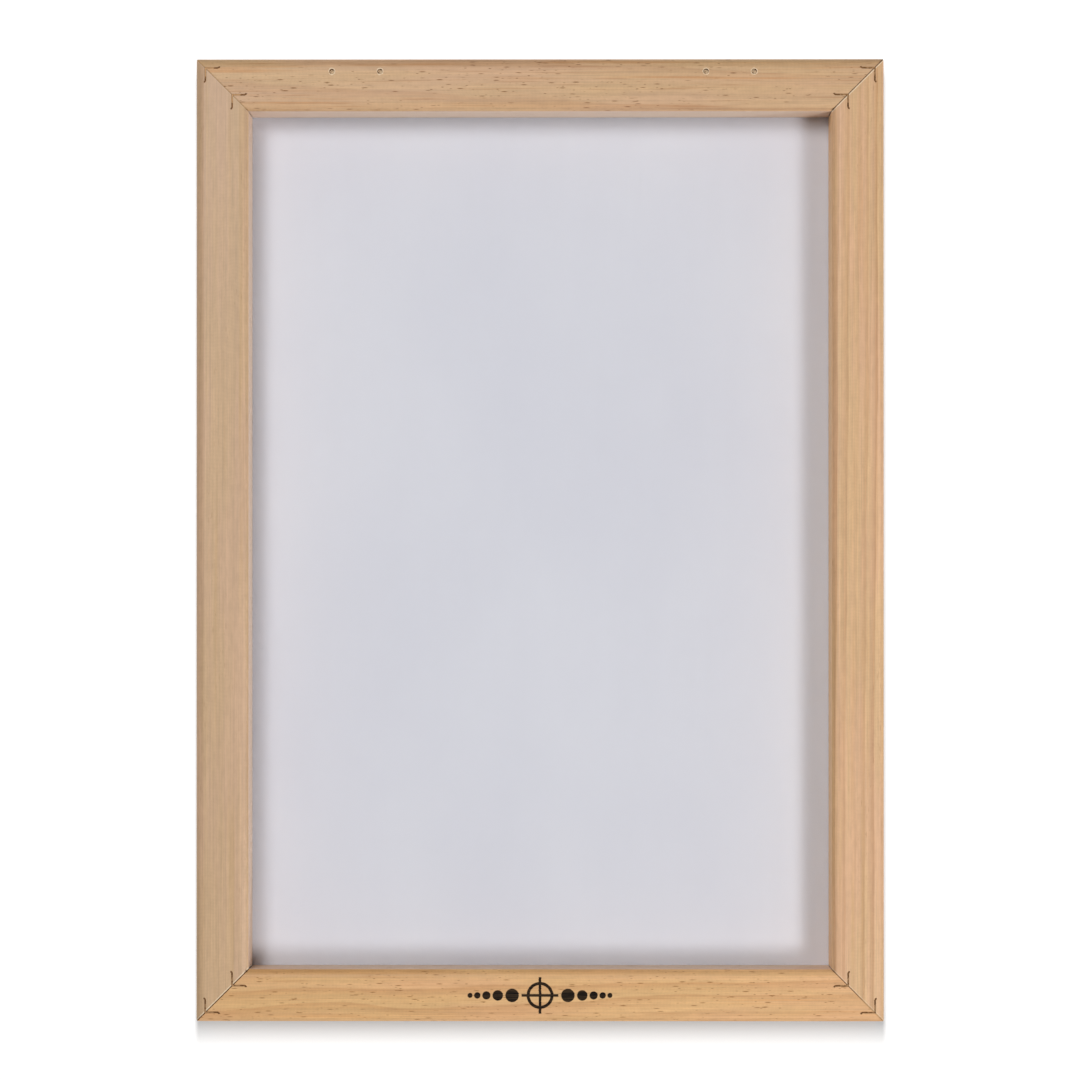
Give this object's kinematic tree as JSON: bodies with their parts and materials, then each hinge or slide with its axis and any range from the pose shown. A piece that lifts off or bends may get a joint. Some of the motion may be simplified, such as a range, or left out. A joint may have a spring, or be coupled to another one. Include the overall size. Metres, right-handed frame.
{
  "type": "screen printing frame",
  "caption": "Rectangular wooden frame with mitred, V-nailed corners and a white woven mesh stretched over one side, held by cords in a groove, for screen printing by hand.",
  "frame": {"origin": "middle of the print side, on the surface the frame lies on", "axes": "+Z out of the squeegee side, +Y towards the rail with the hinge starter holes, +X to the right seen from the squeegee side"},
  "size_m": [0.254, 0.3556, 0.0287],
  "materials": {
    "bottom_rail_pine": "planed, bare",
    "right_rail_pine": "planed, bare",
    "top_rail_pine": "planed, bare",
    "left_rail_pine": "planed, bare",
    "cotton_cord": "twisted",
    "polyester_mesh": "open plain weave",
    "wood_glue": "cured",
    "v_nail_steel": "dull, oiled"
  },
  "bodies": {
    "root": {"bottom_rail": "bottom_rail_pine", "right_rail": "right_rail_pine", "top_rail": "top_rail_pine", "left_rail": "left_rail_pine", "bottom_cord": "cotton_cord", "right_cord": "cotton_cord", "top_cord": "cotton_cord", "left_cord": "cotton_cord", "screen_mesh": "polyester_mesh", "glue_bottom_left": "wood_glue", "glue_bottom_right": "wood_glue", "glue_top_right": "wood_glue", "glue_top_left": "wood_glue", "v_nail_outer_bottom_left": "v_nail_steel", "v_nail_outer_bottom_right": "v_nail_steel", "v_nail_outer_top_right": "v_nail_steel", "v_nail_outer_top_left": "v_nail_steel", "v_nail_inner_bottom_left": "v_nail_steel", "v_nail_inner_bottom_right": "v_nail_steel", "v_nail_inner_top_right": "v_nail_steel", "v_nail_inner_top_left": "v_nail_steel"}
  },
  "joints": []
}
